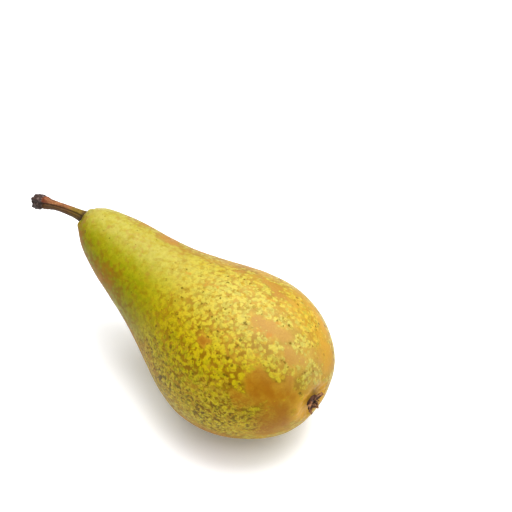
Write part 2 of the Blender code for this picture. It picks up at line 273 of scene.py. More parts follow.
class PearStageSettings(PropertyGroup):
    """Floor, lights and camera."""

    floor: colour_property("Floor", "Colour of the floor", (244, 244, 246))
    floor_side: length_property("Floor side", "Length of the floor's side", 1.6)
    floor_glow: FloatProperty(
        name="Floor glow", description="Light that comes through the floor from below",
        default=0.21, min=0,
    )
    key_power: FloatProperty(
        name="Key power", description="Power of the large soft light", default=15.3, unit="POWER",
    )
    key_side: length_property("Key side", "Side of the large soft light", 1.15)
    sheen_power: FloatProperty(
        name="Sheen power", description="Power of the smaller light beside it", default=4.4,
        unit="POWER",
    )
    sheen_side: length_property("Sheen side", "Side of the smaller light", 0.42)
    sky: FloatProperty(
        name="Sky", description="Brightness of the even light from all round", default=0.06, min=0,
    )


def smooth_curve(stations, values):
    """Return a function that reads the natural cubic curve through values at rising stations."""
    stations = np.asarray(stations, float)
    values = np.asarray(values, float)
    count = len(stations)
    gaps = np.diff(stations)
    rises = np.diff(values)
    system = np.eye(count)
    wanted = np.zeros(count)
    for i in range(1, count - 1):
        system[i, i - 1:i + 2] = gaps[i - 1], 2 * (gaps[i - 1] + gaps[i]), gaps[i]
        wanted[i] = 6 * (rises[i] / gaps[i] - rises[i - 1] / gaps[i - 1])
    bends = np.linalg.solve(system, wanted)

    def read(places):
        i = np.clip(np.searchsorted(stations, places) - 1, 0, count - 2)
        ahead = (places - stations[i]) / gaps[i]
        behind = 1 - ahead
        straight = behind * values[i] + ahead * values[i + 1]
        curved = (behind ** 3 - behind) * bends[i] + (ahead ** 3 - ahead) * bends[i + 1]
        return straight + curved * gaps[i] ** 2 / 6

    return read


def ease(values, start, end):
    """Return 0 up to start, 1 from end on, and a smooth step between."""
    part = np.clip((np.asarray(values, float) - start) / (end - start), 0, 1)
    return part * part * (3 - 2 * part)


def swell(values, middle, reach):
    """Return 1 at the middle, falling smoothly to 0 at reach on either side."""
    distance = np.minimum(np.abs(np.asarray(values, float) - middle) / reach, 1)
    return np.cos(distance * math.pi / 2) ** 2


def ripple(turn, seed, low=3, high=9):
    """Return an uneven wave round a full turn, between about -1 and 1."""
    rng = np.random.default_rng(seed)
    total = 0
    for times in range(low, high + 1):
        total = total + rng.uniform(0.4, 1) * np.cos(times * turn + rng.uniform(0, math.tau))
    return total / math.sqrt(high - low + 1)


def about(own, centre):
    """Return how far points lie from a line along the pear through centre, and their turn round it."""
    y = own[:, 1] - centre[1]
    z = own[:, 2] - centre[2]
    return np.hypot(y, z), np.arctan2(y, z)


def only(obj):
    """Leave edit mode, select nothing but this object and make it the active one."""
    if bpy.context.object and bpy.context.object.mode != "OBJECT":
        bpy.ops.object.mode_set(mode="OBJECT")
    bpy.ops.object.select_all(action="DESELECT")
    obj.select_set(True)
    bpy.context.view_layer.objects.active = obj


def edit(obj, select="SELECT", kind="FACE"):
    """Go into edit mode on one object with all of it or none of it selected."""
    only(obj)
    bpy.ops.object.mode_set(mode="EDIT")
    bpy.ops.mesh.select_mode(type=kind)
    bpy.ops.mesh.select_all(action=select)


def end_edit():
    """Go back to object mode."""
    bpy.ops.object.mode_set(mode="OBJECT")


def add_object(name, data):
    """Put a new object with this data in the scene and return it."""
    made = bpy.data.objects.new(name, data)
    bpy.context.scene.collection.objects.link(made)
    return made


def add_modifier(obj, kind, **settings):
    """Add a modifier with these settings and apply it."""
    only(obj)
    added = obj.modifiers.new(kind.title(), kind)
    for name, value in settings.items():
        setattr(added, name, value)
    bpy.ops.object.modifier_apply(modifier=added.name)


def rows_of(items, attribute):
    """Return three numbers of each item of a mesh as rows of an array."""
    values = np.zeros(len(items) * 3, np.float32)
    items.foreach_get(attribute, values)
    return values.reshape(-1, 3).astype(float)


def points_of(mesh):
    """Return the mesh's points as rows of an array."""
    return rows_of(mesh.vertices, "co")


def normals_of(mesh):
    """Return the mesh's point normals as rows of an array."""
    mesh.update()
    return rows_of(mesh.vertex_normals, "vector")


def set_points(mesh, places):
    """Move the mesh's points to these rows."""
    mesh.vertices.foreach_set("co", np.asarray(places, np.float32).ravel())
    mesh.update()


def push_out(mesh, heights):
    """Move each point of the mesh along its normal by its own height."""
    set_points(mesh, points_of(mesh) + normals_of(mesh) * heights[:, None])


def moved(places, matrix):
    """Return rows of points taken through a matrix."""
    turn = np.array(matrix, float)
    return places @ turn[:3, :3].T + turn[:3, 3]


def add_fields(mesh, **fields):
    """Store numbers for each point, each under a name that a material can read."""
    for name, values in fields.items():
        field = mesh.attributes.new(name, "FLOAT", "POINT")
        field.data.foreach_set("value", np.asarray(values, np.float32))


def displace(obj, height, size):
    """Push the surface in and out by a soft noise of this size and height."""
    pattern = bpy.data.textures.new("unevenness", "CLOUDS")
    pattern.noise_scale = size
    pattern.noise_depth = 2
    add_modifier(
        obj, "DISPLACE", texture=pattern, texture_coords="LOCAL", strength=height, mid_level=0.5,
        vertex_group="",
    )
    bpy.data.textures.remove(pattern)


def edit_chosen(obj, kind, choose):
    """Go into edit mode with nothing selected but the faces or edges that choose says yes to."""
    edit(obj, "DESELECT", kind)
    end_edit()
    for part in obj.data.polygons if kind == "FACE" else obj.data.edges:
        part.select = bool(choose(part))
    bpy.ops.object.mode_set(mode="EDIT")


def edit_top(obj):
    """Go into edit mode with nothing selected but the faces that look straight up."""
    edit_chosen(obj, "FACE", lambda face: face.normal.z > 0.9)


def add_rod(sides, rings):
    """Add an upright rod, 1 high and 1 in radius, whose wall is cut into rings, and return it."""
    bpy.ops.mesh.primitive_cylinder_add(vertices=sides, radius=1, depth=1)
    rod = bpy.context.object
    heights = points_of(rod.data)[:, 2]
    edit_chosen(rod, "EDGE", lambda edge: np.ptp(heights[list(edge.vertices)]) > 0.5)
    bpy.ops.mesh.subdivide(number_cuts=rings - 1)
    end_edit()
    return rod


def dress(obj, surface, slot, *nodes):
    """Give a finished piece its material and its body, and hide the solid that it stands for. The slot is
    not used.
    """
    obj.data.materials.clear()
    obj.data.materials.append(surface)
    only(obj)
    bpy.ops.object.shade_smooth()
    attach(obj, "root")
    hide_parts(*nodes)


class Recipe:
    """One material, and short ways to add and join its nodes."""

    def __init__(self, name):
        self.material = bpy.data.materials.new(name)
        self.material.use_nodes = True
        self.tree = self.material.node_tree
        self.shader = self.tree.nodes["Principled BSDF"]

    def feed(self, socket, value):
        if isinstance(value, bpy.types.NodeSocket):
            self.tree.links.new(value, socket)
        elif socket.type == "RGBA" and len(value) == 3:
            socket.default_value = (*value, 1.0)
        else:
            socket.default_value = value

    def add(self, kind, inputs, **settings):
        """Add a shader node of this kind, with its inputs fed, and return it."""
        node = self.tree.nodes.new("ShaderNode" + kind)
        for name, value in settings.items():
            setattr(node, name, value)
        for name, value in inputs.items():
            self.feed(node.inputs[name], value)
        return node

    def own_millimetres(self, matrix):
        """Return Object coordinates in millimetres, in the frame whose way to the row is matrix."""
        inverse = matrix.inverted()
        place = self.add("TexCoord", {}).outputs["Object"]
        shift = inverse.to_translation() / MM
        turn = inverse.to_euler()
        inputs = {"Vector": place, "Location": shift, "Rotation": turn, "Scale": (1 / MM,) * 3}
        return self.add("Mapping", inputs, vector_type="POINT").outputs["Vector"]

    def stretched(self, places, scale):
        """Return the coordinates with each axis multiplied."""
        inputs = {0: places, 1: scale}
        return self.add("VectorMath", inputs, operation="MULTIPLY").outputs["Vector"]

    def field(self, name):
        """Return a number stored for each point of the mesh."""
        return self.add("Attribute", {}, attribute_name=name).outputs["Fac"]

    def noise(self, places, size, detail=3.0, roughness=0.5):
        """Return a soft noise between 0 and 1 whose clouds are about this many millimetres wide."""
        inputs = {"Vector": places, "Scale": 1 / size, "Detail": detail, "Roughness": roughness}
        return self.add("TexNoise", inputs).outputs["Fac"]

    def warped(self, places, size, reach):
        """Return the coordinates pushed about by up to this many millimetres."""
        noise = self.add("TexNoise", {"Vector": places, "Scale": 1 / size, "Detail": 2.0})
        centred = self.add(
            "VectorMath", {0: noise.outputs["Color"], 1: (0.5, 0.5, 0.5)},
            operation="SUBTRACT",
        )
        inputs = {0: centred.outputs["Vector"], 1: (2 * reach,) * 3, 2: places}
        return self.add("VectorMath", inputs, operation="MULTIPLY_ADD").outputs["Vector"]

    def cells(self, places, size):
        """Return a node of cells about this many millimetres wide."""
        return self.add("TexVoronoi", {"Vector": places, "Scale": 1 / size})

    def maths(self, operation, first, second=0.0, third=0.0):
        inputs = {0: first, 1: second, 2: third}
        return self.add("Math", inputs, operation=operation).outputs["Value"]

    def step(self, value, low, high):
        """Return 0 where value is under low, 1 where it is over high, and a smooth step between."""
        inputs = {"Value": value, "From Min": low, "From Max": high}
        made = self.add("MapRange", inputs, interpolation_type="SMOOTHSTEP")
        return made.outputs["Result"]

    def between(self, value, low, high):
        """Return value, which runs from 0 to 1, laid out from low to high."""
        return self.maths("MULTIPLY_ADD", value, high - low, low)

    def inverse(self, value):
        return self.maths("SUBTRACT", 1.0, value)

    def broken_step(self, value, noise, reach, low, high):
        """Return a step in value whose edge a noise moves about by this reach."""
        return self.step(self.maths("ADD", value, self.between(noise, -reach, reach)), low, high)

    def threads(self, noise, narrow, wide):
        """Return thin lines where a noise crosses its middle."""
        off_middle = self.maths("ABSOLUTE", self.between(noise, -1.0, 1.0))
        return self.inverse(self.step(off_middle, narrow, wide))

    def blend(self, share, first, second, kind="MIX"):
        """Return the first colour with this share of the second."""
        node = self.add("Mix", {}, data_type="RGBA", blend_type=kind)
        self.feed(node.inputs[0], share)
        self.feed(node.inputs[6], first)
        self.feed(node.inputs[7], second)
        return node.outputs[2]

    def layered(self, colour, *layers):
        """Return the colour under layers laid on in this order.

        Each has where it lies, as a number from 0 to 1, how strong it is there, and its colour.
        """
        for where, strength, over in layers:
            colour = self.blend(self.times(where, strength), colour, over)
        return colour

    def times(self, *values):
        """Return the product of two or more numbers."""
        total = values[0]
        for value in values[1:]:
            total = self.maths("MULTIPLY", total, value)
        return total

    def finished(self, inputs):
        """Return the material, with these inputs of its shader set."""
        for name, value in inputs.items():
            self.feed(self.shader.inputs[name], value)
        return self.material

    def bump(self, height, depth):
        """Return a normal for a relief this deep."""
        inputs = {"Height": height, "Distance": depth, "Strength": 1.0}
        return self.add("Bump", inputs).outputs["Normal"]


def dots(recipe, places, size, share, small, large, grown=1.0):
    """Return a mask of separate dots: one in this share of cells of this size in millimetres.

    Their radius is drawn between small and large, in cell sizes, and multiplied by grown.
    """
    cells = recipe.cells(places, size)
    draw = recipe.add("SeparateColor", {"Color": cells.outputs["Color"]})
    radius = recipe.times(recipe.between(draw.outputs["Red"], small, large), grown)
    near = recipe.maths("DIVIDE", cells.outputs["Distance"], radius)
    spot = recipe.inverse(recipe.step(near, 0.55, 1.05))
    chosen = recipe.maths("LESS_THAN", draw.outputs["Green"], share)
    return recipe.times(spot, chosen)


class SkinPattern:
    """What the layers of the skin share: its stored fields, and the noises that break them up."""

    def __init__(self, r):
        self.own = r.own_millimetres(OWN_TO_ROW)
        for name in SKIN_FIELDS:
            setattr(self, name, r.field(name))
        self.gilded = r.maths("MINIMUM", self.golden, 1.0)
        self.clouds = r.noise(self.own, 9.0)
        self.mottle = r.noise(self.own, 2.6, roughness=0.55)
        self.grain = r.noise(self.own, 0.7, roughness=0.65)
        self.worms = r.noise(r.warped(self.own, 1.6, 0.6), 1.8, roughness=0.6)
        self.lobes = r.cells(r.warped(self.own, 1.4, 0.75), 1.9).outputs["Distance"]
        ragged = r.between(r.noise(self.own, 4.2, detail=4.0, roughness=0.6), -0.60, 0.60)
        drift = r.maths("ADD", ragged, r.between(self.clouds, -0.22, 0.22))
        self.covered = r.maths("ADD", self.russet, drift)
        self.solid = r.step(self.covered, 0.50, 0.95)


def ground_colour(r, skin, look):
    """Return the colour of bare skin: yellow clouds, green that is partly painted shade, cream above that is
    partly a painted highlight, and bright islands.
    """
    # Islands turn cream on the upper side: partly the sunny side's colour, partly a painted highlight.
    island = r.blend(skin.pale, look.island, look.sunny_highlight_island)
    island = r.blend(r.times(skin.gilded, 0.5), island, look.gold)
    # Green on the neck and lower flank: partly the pear's own green, partly painted shade.
    green = r.broken_step(skin.fresh, skin.mottle, 0.35, 0.15, 0.95)
    tan = r.times(r.step(skin.mottle, 0.50, 0.62), r.between(skin.grainy, 0.14, 0.62))
    olive = r.step(r.noise(skin.own, 3.0, roughness=0.6), 0.53, 0.64)
    bright = r.inverse(r.step(skin.worms, 0.42, 0.54))
    gaps = r.step(r.maths("MULTIPLY_ADD", skin.worms, 1.1, skin.lobes), 1.04, 1.28)
    return r.layered(
        r.blend(r.step(skin.clouds, 0.38, 0.64), look.ripe, look.deep),
        # Cream ground on the upper side, partly a painted highlight.
        (skin.pale, 0.72, look.pale),
        (green, 1, look.green),
        (tan, 1, look.tan),
        (olive, r.between(skin.grainy, 0.30, 0.55), look.lace),
        (bright, r.between(skin.grainy, 0.12, 0.80), island),
        # The lace fades on the upper side under the painted highlight.
        (r.times(gaps, skin.grainy), r.between(skin.pale, 0.82, 0.20), look.lace),
    )


def russet_colour(r, skin, look):
    """Return the colour of russet: brown where it is solid, olive and tan where it is thin. On the upper
    side it turns fawn, partly a painted highlight.
    """
    amber = r.blend(r.step(skin.golden, 1.0, 2.0), look.amber, look.gold)
    thick = r.broken_step(skin.russet, skin.mottle, 0.3, 0.70, 1.40)
    dark_clouds = r.step(r.noise(skin.own, 10.0, detail=2.0), 0.42, 0.62)
    brown = r.layered(
        r.blend(r.step(r.noise(skin.own, 5.0), 0.42, 0.60), look.russet, look.tan),
        (r.maths("MAXIMUM", r.times(dark_clouds, 0.6), r.times(thick, 0.7)), 1, look.russet_dark),
        (skin.gilded, 0.85, amber),
        (skin.pale, 0.78, look.sunny_highlight_russet),
    )
    thin = r.layered(
        r.blend(r.times(skin.grainy, r.step(skin.clouds, 0.42, 0.60)), look.lace, look.tan),
        (skin.gilded, 0.7, amber),
        (skin.pale, 0.6, look.sunny_highlight_russet),
    )
    return r.blend(skin.solid, thin, brown)


def russet_net(r, skin):
    """Return where russet lies: all over its patches, and in a net between islands elsewhere."""
    level = r.maths("MULTIPLY_ADD", skin.grain, 0.5, skin.covered)
    level = r.maths("MULTIPLY_ADD", skin.lobes, 1.3, level)
    soft = r.step(level, 1.00, 1.70)
    sharper = r.maths("SUBTRACT", r.step(level, 1.20, 1.44), soft)
    return r.maths("MULTIPLY_ADD", skin.grainy, sharper, soft)


def pore_spots(r, skin, net):
    """Return the dark spots of the pores, in two sizes, which solid russet hides."""
    clear = r.inverse(r.times(net, skin.solid, 0.9))
    grown = r.between(r.times(skin.grainy, r.between(skin.pale, 1.0, 0.55)), 0.62, 1.0)
    coarse = dots(r, r.warped(skin.own, 0.8, 0.8), 2.8, skin.pores, 0.14, 0.34, grown)
    fine = dots(r, r.warped(skin.own, 0.6, 0.5), 1.6, r.times(skin.pores, 0.8), 0.14, 0.34, grown)
    return r.times(r.maths("MAXIMUM", coarse, r.times(fine, 0.8)), clear)


def scratches(r, skin):
    """Return the fine pale scratches and the dark ones."""
    crossing = r.noise(r.warped(skin.own, 1.5, 0.5), 2.3, detail=1.0)
    beside = r.noise(r.stretched(r.warped(skin.own, 1.4, 0.5), (0.8, 1.2, 1.2)), 1.9, detail=1.0)
    pale_parts = r.step(r.noise(skin.own, 1.3, detail=2.0), 0.38, 0.50)
    dark_parts = r.step(beside, 0.40, 0.56)
    pale = r.times(r.threads(beside, 0.08, 0.24), skin.streaks, pale_parts)
    dark = r.times(r.threads(crossing, 0.07, 0.20), skin.streaks, dark_parts)
    return pale, dark


def skin_material(look):
    """Ripe skin: clouded yellow green, freckled with pores, with patches and a lace of russet."""
    r = Recipe("ripe pear skin")
    skin = SkinPattern(r)
    net = russet_net(r, skin)
    pores = pore_spots(r, skin, net)
    pale_scratches, dark_scratches = scratches(r, skin)
    flecks = dots(r, r.warped(skin.own, 0.8, 0.3), 3.4, 0.30, 0.06, 0.15)
    colour = r.layered(
        ground_colour(r, skin, look),
        (net, r.between(skin.solid, 0.72, 1.0), russet_colour(r, skin, look)),
        (r.times(flecks, skin.solid), 0.75, look.island),
        (pores, 0.80, look.freckle_and_fold_shade),
        (pale_scratches, 0.72, look.thread),
        (dark_scratches, 0.78, look.freckle_and_fold_shade),
        # Painted shade in and between the folds round the stem, in the pores' dark olive.
        (r.broken_step(skin.crease, skin.mottle, 0.9, 0.45, 1.0), 0.72, look.freckle_and_fold_shade),
        (r.broken_step(skin.ember, skin.grain, 1.0, 0.40, 1.10), 0.60, look.ember),
    )
    shade = r.between(skin.grain, 0.82, 1.18)
    grey = r.add("CombineColor", {"Red": shade, "Green": shade, "Blue": shade})
    dull = r.maths("MULTIPLY_ADD", net, 0.10, look.roughness)
    relief = r.maths("MULTIPLY_ADD", net, -0.45, skin.grain)
    relief = r.maths("MULTIPLY_ADD", pores, 0.4, relief)
    return r.finished({
        "Base Color": r.blend(1.0, colour, grey.outputs["Color"], "MULTIPLY"),
        "Roughness": r.maths("MULTIPLY_ADD", skin.mottle, 0.12, r.maths("SUBTRACT", dull, 0.06)),
        "IOR": 1.14,
        "Subsurface Weight": 0.06,
        "Subsurface Radius": (1.0, 0.6, 0.15),
        "Subsurface Scale": 1.2 * MM,
        "Normal": r.bump(relief, 0.06 * MM),
    })


def close_socket(obj):
    """Take the walls of the stem's socket out of a copy of the fruit, and skin over its mouth."""
    line = [OWN_TO_ROW @ point for point in STEM_LINE[:2]]
    inward = (line[0] - line[1]).normalized()

    def is_wall(face):
        off = face.center - line[1]
        depth = off.dot(inward)
        return (off - inward * depth).length < SOCKET_REACH and depth < SOCKET_DEPTH

    edit_chosen(obj, "FACE", is_wall)
    bpy.ops.mesh.delete(type="FACE")
    bpy.ops.mesh.select_mode(type="EDGE")
    bpy.ops.mesh.select_all(action="DESELECT")
    bpy.ops.mesh.select_non_manifold()
    bpy.ops.mesh.edge_face_add()
    bpy.ops.mesh.select_all(action="SELECT")
    bpy.ops.mesh.normals_make_consistent(inside=False)
    end_edit()


def stem_folds(turn):
    """Return the folds that run out from the stem: over 0 on their crests, under 0 between them."""
    return ripple(turn, seed=21, low=3, high=8)


def skin_relief(own, look):
    """Return how far each point of the skin stands out, in metres, by the folds at both ends."""
    radius, turn = about(own, CALYX_SPOT)
    folds = ripple(turn + 0.05 * np.sin(radius), seed=11, low=7, high=15) * swell(radius, 6.0, 5.0)
    fine = ripple(turn, seed=12, low=16, high=30) * swell(radius, 4.6, 2.6) * 0.45
    filled = (1 - ease(radius, 2.5, 7.0)) * look.basin_rise
    calyx_relief = (folds + fine) * look.fold_height + filled
    radius, turn = about(own, STEM_FOOT)
    creases = stem_folds(turn) * swell(radius, 5.4, 4.0) * 0.46 * MM
    collar = swell(radius, 4.6, 2.0) * 0.45 * MM
    out = np.where(own[:, 0] > CALYX_SHOULDER, calyx_relief, 0)
    return out + np.where(own[:, 0] < STEM_SHOULDER, creases + collar, 0)


def surface_place(tree, along, turn):
    """Return the point of the skin, in its own millimetres, at a place along and round it."""
    turn = math.radians(turn)
    outward = Vector((0, math.sin(turn), math.cos(turn)))
    hit = tree.ray_cast(Vector((along, 0, 0)), outward)[0]
    if hit is None:
        raise RuntimeError(f"no skin at {along} mm along and {turn} round")
    return np.array(hit)


def wandered(own, size, reach, seed=8, waves=7):
    """Return the places pushed about by slow waves of this size, so that outlines turn uneven."""
    rng = np.random.default_rng(seed)
    total = np.zeros_like(own)
    for _ in range(waves):
        direction = rng.normal(size=3)
        direction *= math.tau / size / np.linalg.norm(direction) * rng.uniform(0.6, 1.5)
        push = rng.normal(size=3)
        total += np.sin(own @ direction + rng.uniform(0, math.tau))[:, None] * push
    return own + total * reach / math.sqrt(waves)


def patched(patches, tree, uneven, jagged):
    """Return how well patches cover each point, 0 where there is none."""
    cover = np.zeros(len(uneven))
    for along, turn, reach_along, reach_round, strength in patches:
        places = jagged if reach_along < SMALL_PATCH else uneven
        centre = surface_place(tree, along, turn)
        across, _ = about(places, centre)
        distance = np.hypot((places[:, 0] - centre[0]) / reach_along, across / reach_round)
        cover = np.maximum(cover, strength * (1 - ease(distance, PATCH_CORE, PATCH_EDGE)))
    return cover


def thin_russet(along, turn):
    """Return how much russet there is outside the patches: most on the belly, least on the neck."""
    belly = 0.21 * ease(along, 56, 100)
    neck = 0.12 * (1 - ease(along, 25, 62))
    upper_belly = 0.14 * swell(turn, -25, 80) * ease(along, 84, 98)
    far_side = 0.22 * swell(turn, 42, 66) * ease(along, 40, 76) * (1 - 0.6 * ease(along, 74, 92))
    far_belly = 0.05 * swell(turn, 35, 50) * ease(along, 82, 96)
    # More russet lace on the near lower flank: partly russet, partly painted shade that darkens it.
    near_flank_and_shade = 0.26 * swell(turn, -98, 50) * ease(along, 50, 70)
    return belly - neck + upper_belly + far_side + far_belly + near_flank_and_shade


def ember_marks(tree, jagged):
    """Return how near each point is to one of the small orange marks."""
    near = np.zeros(len(jagged))
    for along, turn, radius in EMBERS:
        away = np.linalg.norm(jagged - surface_place(tree, along, turn), axis=1)
        near = np.maximum(near, 1 - ease(away, radius * 0.5, radius * 2.6))
    return near


def painted_fold_shade(own):
    """Return the painted shade that darkens the skin in and between the folds round the stem."""
    radius, turn = about(own, STEM_FOOT)
    crease = np.maximum(1.5 * (1 - ease(radius, 3.2, 4.8)), 0.7 * (1 - ease(radius, 4, 9)))
    crease += 0.9 * ease(-stem_folds(turn), 0.1, 1.1) * swell(radius, 4.6, 3.6)
    return np.where(own[:, 0] < STEM_SHOULDER, crease, 0)


def add_skin_fields(obj):
    """Store where the skin is russeted, green, freckled, scratched and marked with orange, and where
    highlight and shade are painted on it.
    """
    own = moved(points_of(obj.data), ROW_TO_OWN) / MM
    faces = [tuple(face.vertices) for face in obj.data.polygons]
    tree = BVHTree.FromPolygons([tuple(point) for point in own], faces)
    along = own[:, 0]
    turn = np.degrees(np.arctan2(own[:, 1], own[:, 2]))
    uneven = wandered(own, 9.0, 1.6)
    jagged = wandered(own, 3.6, 0.45)

    from_calyx, _ = about(own, CALYX_SPOT)
    near_calyx = np.where(along > CALYX_SHOULDER, 1 - ease(from_calyx, 5.0, 14.0), 0)
    patches = np.maximum(patched(RUSSET_PATCHES.values(), tree, uneven, jagged), near_calyx)
    neck = 1 - ease(along, 30, 88)
    # Green on the neck's lower side and on the lower flank: partly the pear's own green, partly painted
    # shade.
    green_and_shade_side = 0.40 + 0.50 * swell(turn, -66, 75)
    green_and_shade_flank = 0.62 * swell(turn, -84, 55) * swell(along, 82, 34)
    flank_pores = 0.58 * swell(turn, -74, 66) * ease(along, 40, 66)
    pores = 0.22 + 0.24 * ease(along, 45, 80) + flank_pores
    golden_side = swell(turn, 44, 52) * ease(along, 88, 104)
    golden_end = 2.2 * near_calyx * ease(own[:, 1], -27, -11)
    # The pale upper side: partly the creamier sunny side, partly a painted highlight along the top.
    sunny_highlight_side = swell(turn, 2, 62) * (0.90 - 0.25 * swell(along, 58, 22))
    add_fields(
        obj.data,
        russet=np.maximum(thin_russet(along, turn), patches),
        fresh=neck * green_and_shade_side + green_and_shade_flank,
        pores=np.maximum(pores, 0.45 * (1 - ease(along, 2, 12))),
        grainy=0.10 + 0.90 * ease(along, 40, 78),
        streaks=patched(SCRATCHED, tree, uneven, jagged),
        ember=ember_marks(tree, jagged),
        golden=np.maximum(golden_side, golden_end),
        pale=sunny_highlight_side * (1 - 0.6 * ease(along, 92, 106) * swell(turn, 52, 44)),
        crease=painted_fold_shade(own),
    )


class PEAR_OT_skin(Operator):
    """Make the skin of the whole fruit, with its russet, its pores and the folds at its ends"""

    bl_idname = "pear.skin"
    bl_label = "Make skin"

    def execute(self, context):
        look = context.scene.pear_skin
        made = add_object("pear_skin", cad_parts["fruit"].data.copy())
        edit(made)
        bpy.ops.mesh.remove_doubles(threshold=MERGE_DISTANCE)
        bpy.ops.mesh.customdata_custom_splitnormals_clear()
        end_edit()
        close_socket(made)
        edit(made)
        bpy.ops.mesh.tris_convert_to_quads(
            face_threshold=math.radians(30), shape_threshold=math.radians(40),
        )
        end_edit()
        add_modifier(made, "SUBSURF", levels=2, render_levels=2)
        add_modifier(made, "REMESH", mode="VOXEL", voxel_size=look.mesh_size)
        add_modifier(made, "SMOOTH", factor=0.5, iterations=8)
        displace(made, look.swell_height, 16 * MM)
        displace(made, look.grain_height, 1.6 * MM)
        own = moved(points_of(made.data), ROW_TO_OWN) / MM
        push_out(made.data, skin_relief(own, look))
        places = points_of(made.data)
        places[:, 2] = np.maximum(places[:, 2], 0)
        set_points(made.data, places)
        add_skin_fields(made)
        dress(made, skin_material(look), "skin", "fruit")
        return {"FINISHED"}


def stem_frames(parts):
    """Return the stem's middle points at parts of its length, and the two axes across it."""
    stations = np.linspace(0, 1, len(STEM_LINE))
    line = [smooth_curve(stations, [point[axis] for point in STEM_LINE]) for axis in range(3)]
    middle = np.stack([axis(parts) for axis in line], axis=1)
    ahead = np.stack([axis(parts + 0.01) - axis(parts - 0.01) for axis in line], axis=1)
    ahead /= np.linalg.norm(ahead, axis=1, keepdims=True)
    side = np.cross(ahead, (0, 0, 1))
    side /= np.linalg.norm(side, axis=1, keepdims=True)
    return middle, ahead, side, np.cross(side, ahead)


def furrow(part, turn):
    """Return how near each point is to one of the furrows between the stem's facets, 0 to 1."""
    near = np.zeros(len(turn))
    for index, place in enumerate(STEM_FURROWS):
        path = math.radians(place) + 0.22 * np.sin(4 * part + 2 * index)
        away = np.angle(np.exp(1j * (turn - path)))
        near = np.maximum(near, np.exp(-((away / 0.15) ** 2)))
    return near


def bark_relief(part, turn, look):
    """Return how far the bark stands out: facets, furrows, the neck of the knob and its lumps."""
    facets = 0.5 * np.cos(3 * turn + 0.9) + 0.35 * np.cos(5 * turn + 0.5 * np.sin(5 * part))
    fine = ripple(turn + 0.25 * np.sin(9 * part), seed=31, low=12, high=24) * 0.045 * MM
    free = ease(part, 0.18, 0.34)
    knob = ease(part, 0.80, 0.93)
    lumps = np.cos(4 * turn + 9 * part) + 0.5 * np.cos(7 * turn - 22 * part)
    rings = np.sin(130 * part + 2 * np.sin(turn * 2)) * ease(part, 0.66, 0.84) * 0.04 * MM
    cut = swell(part, KNOB_CUT + 0.012 * np.sin(turn * 2 + 1), 0.018) * 0.5 * MM
    crown = swell(part, KNOB_CROWN, 0.05) * swell(np.degrees(turn), 8, 62) * 0.75 * MM
    body = (look.ridge_height * (facets - 2.2 * furrow(part, turn)) + fine) * free
    return body + rings + crown + 0.38 * MM * lumps * knob - cut


def knob_buds(places, part, count=34, seed=5):
    """Return how far small round buds stand out of the knob."""
    rng = np.random.default_rng(seed)
    choice = np.flatnonzero(part > KNOB_BUDS)
    out = np.zeros(len(places))
    for index in rng.choice(choice, count):
        radius = rng.uniform(0.45, 0.95) * MM
        height = rng.uniform(0.15, 0.42) * MM
        distance = np.linalg.norm(places - places[index], axis=1) / radius
        out = np.maximum(out, height * np.sqrt(np.clip(1 - distance ** 2, 0, 1)))
    return out


def stem_material(look):
    """Bark that runs from olive at its foot through orange brown to a grey brown knob."""
    r = Recipe("stem bark")
    own = r.own_millimetres(OWN_TO_ROW)
    part = r.field("part")
    under = r.field("under")
    straight = {axis: r.field(axis) for axis in ("X", "Y", "Z")}
    straight = r.add("CombineXYZ", straight).outputs["Vector"]
    drawn_out = r.stretched(r.warped(straight, 2.0, 0.3), (0.13, 1.0, 1.0))
    streak = r.noise(drawn_out, 0.55, detail=4.0, roughness=0.6)
    blotch = r.noise(own, 1.7, roughness=0.6)

    specks = r.times(r.step(r.noise(own, 0.7), 0.52, 0.64), r.step(part, 0.4, 0.6))
    blush = r.times(r.step(blotch, 0.56, 0.68), r.step(part, 0.35, 0.5), 0.6)
    swollen = r.times(r.step(part, 0.76, 0.87), 0.7)
    # Painted shade on the stem's lower side, in olive brown.
    shaded = r.broken_step(under, streak, 0.3, 0.42, 0.62)
    foot = r.inverse(r.broken_step(part, blotch, 0.14, 0.40, 0.60))
    olive = r.blend(r.step(streak, 0.35, 0.65), r.blend(0.6, look.foot, look.bark_dark), look.foot)
    olive = r.blend(r.times(shaded, 0.85, 0.8), olive, look.underside)
    knob = r.broken_step(part, blotch, 0.03, 0.862, 0.882)
    knob_specks = r.step(r.noise(own, 0.9), 0.46, 0.66)
    knob_tone = r.blend(r.times(knob_specks, 0.8), look.knob, look.knob_pale)
    # Painted shade in the hollows where the bark sank and in the furrows between its facets.
    recess_shade = r.maths("MAXIMUM", r.times(r.field("hollow"), 0.75), r.times(r.field("furrow"), 0.6))
    # Painted shade where the stem's foot sinks into the shoulder, reaching further up its lower side.
    sunk = r.inverse(r.step(r.maths("MULTIPLY_ADD", under, -0.05, part), 0.25, 0.345))
    # Painted shade in the cut round the knob.
    cut = r.times(r.step(part, 0.850, 0.866), r.inverse(r.step(part, 0.870, 0.886)))
    colour = r.layered(
        r.blend(r.step(streak, 0.38, 0.60), look.bark_dark, look.bark),
        (specks, 0.6, look.speck),
        (r.maths("MAXIMUM", blush, swollen), 1, look.blush),
        (shaded, 0.85, look.underside),
        (foot, 0.85, olive),
        (knob, 0.92, knob_tone),
        (recess_shade, 1, look.crack_shade),
        (sunk, 0.85, look.crack_shade),
        (r.times(cut, r.step(blotch, 0.3, 0.6)), 0.6, look.crack_shade),
    )
    return r.finished({
        "Base Color": colour,
        "Roughness": r.between(streak, 0.45, 0.75),
        "Specular IOR Level": 0.18,
        "Normal": r.bump(r.maths("ADD", streak, r.times(blotch, 0.5)), 0.10 * MM),
    })


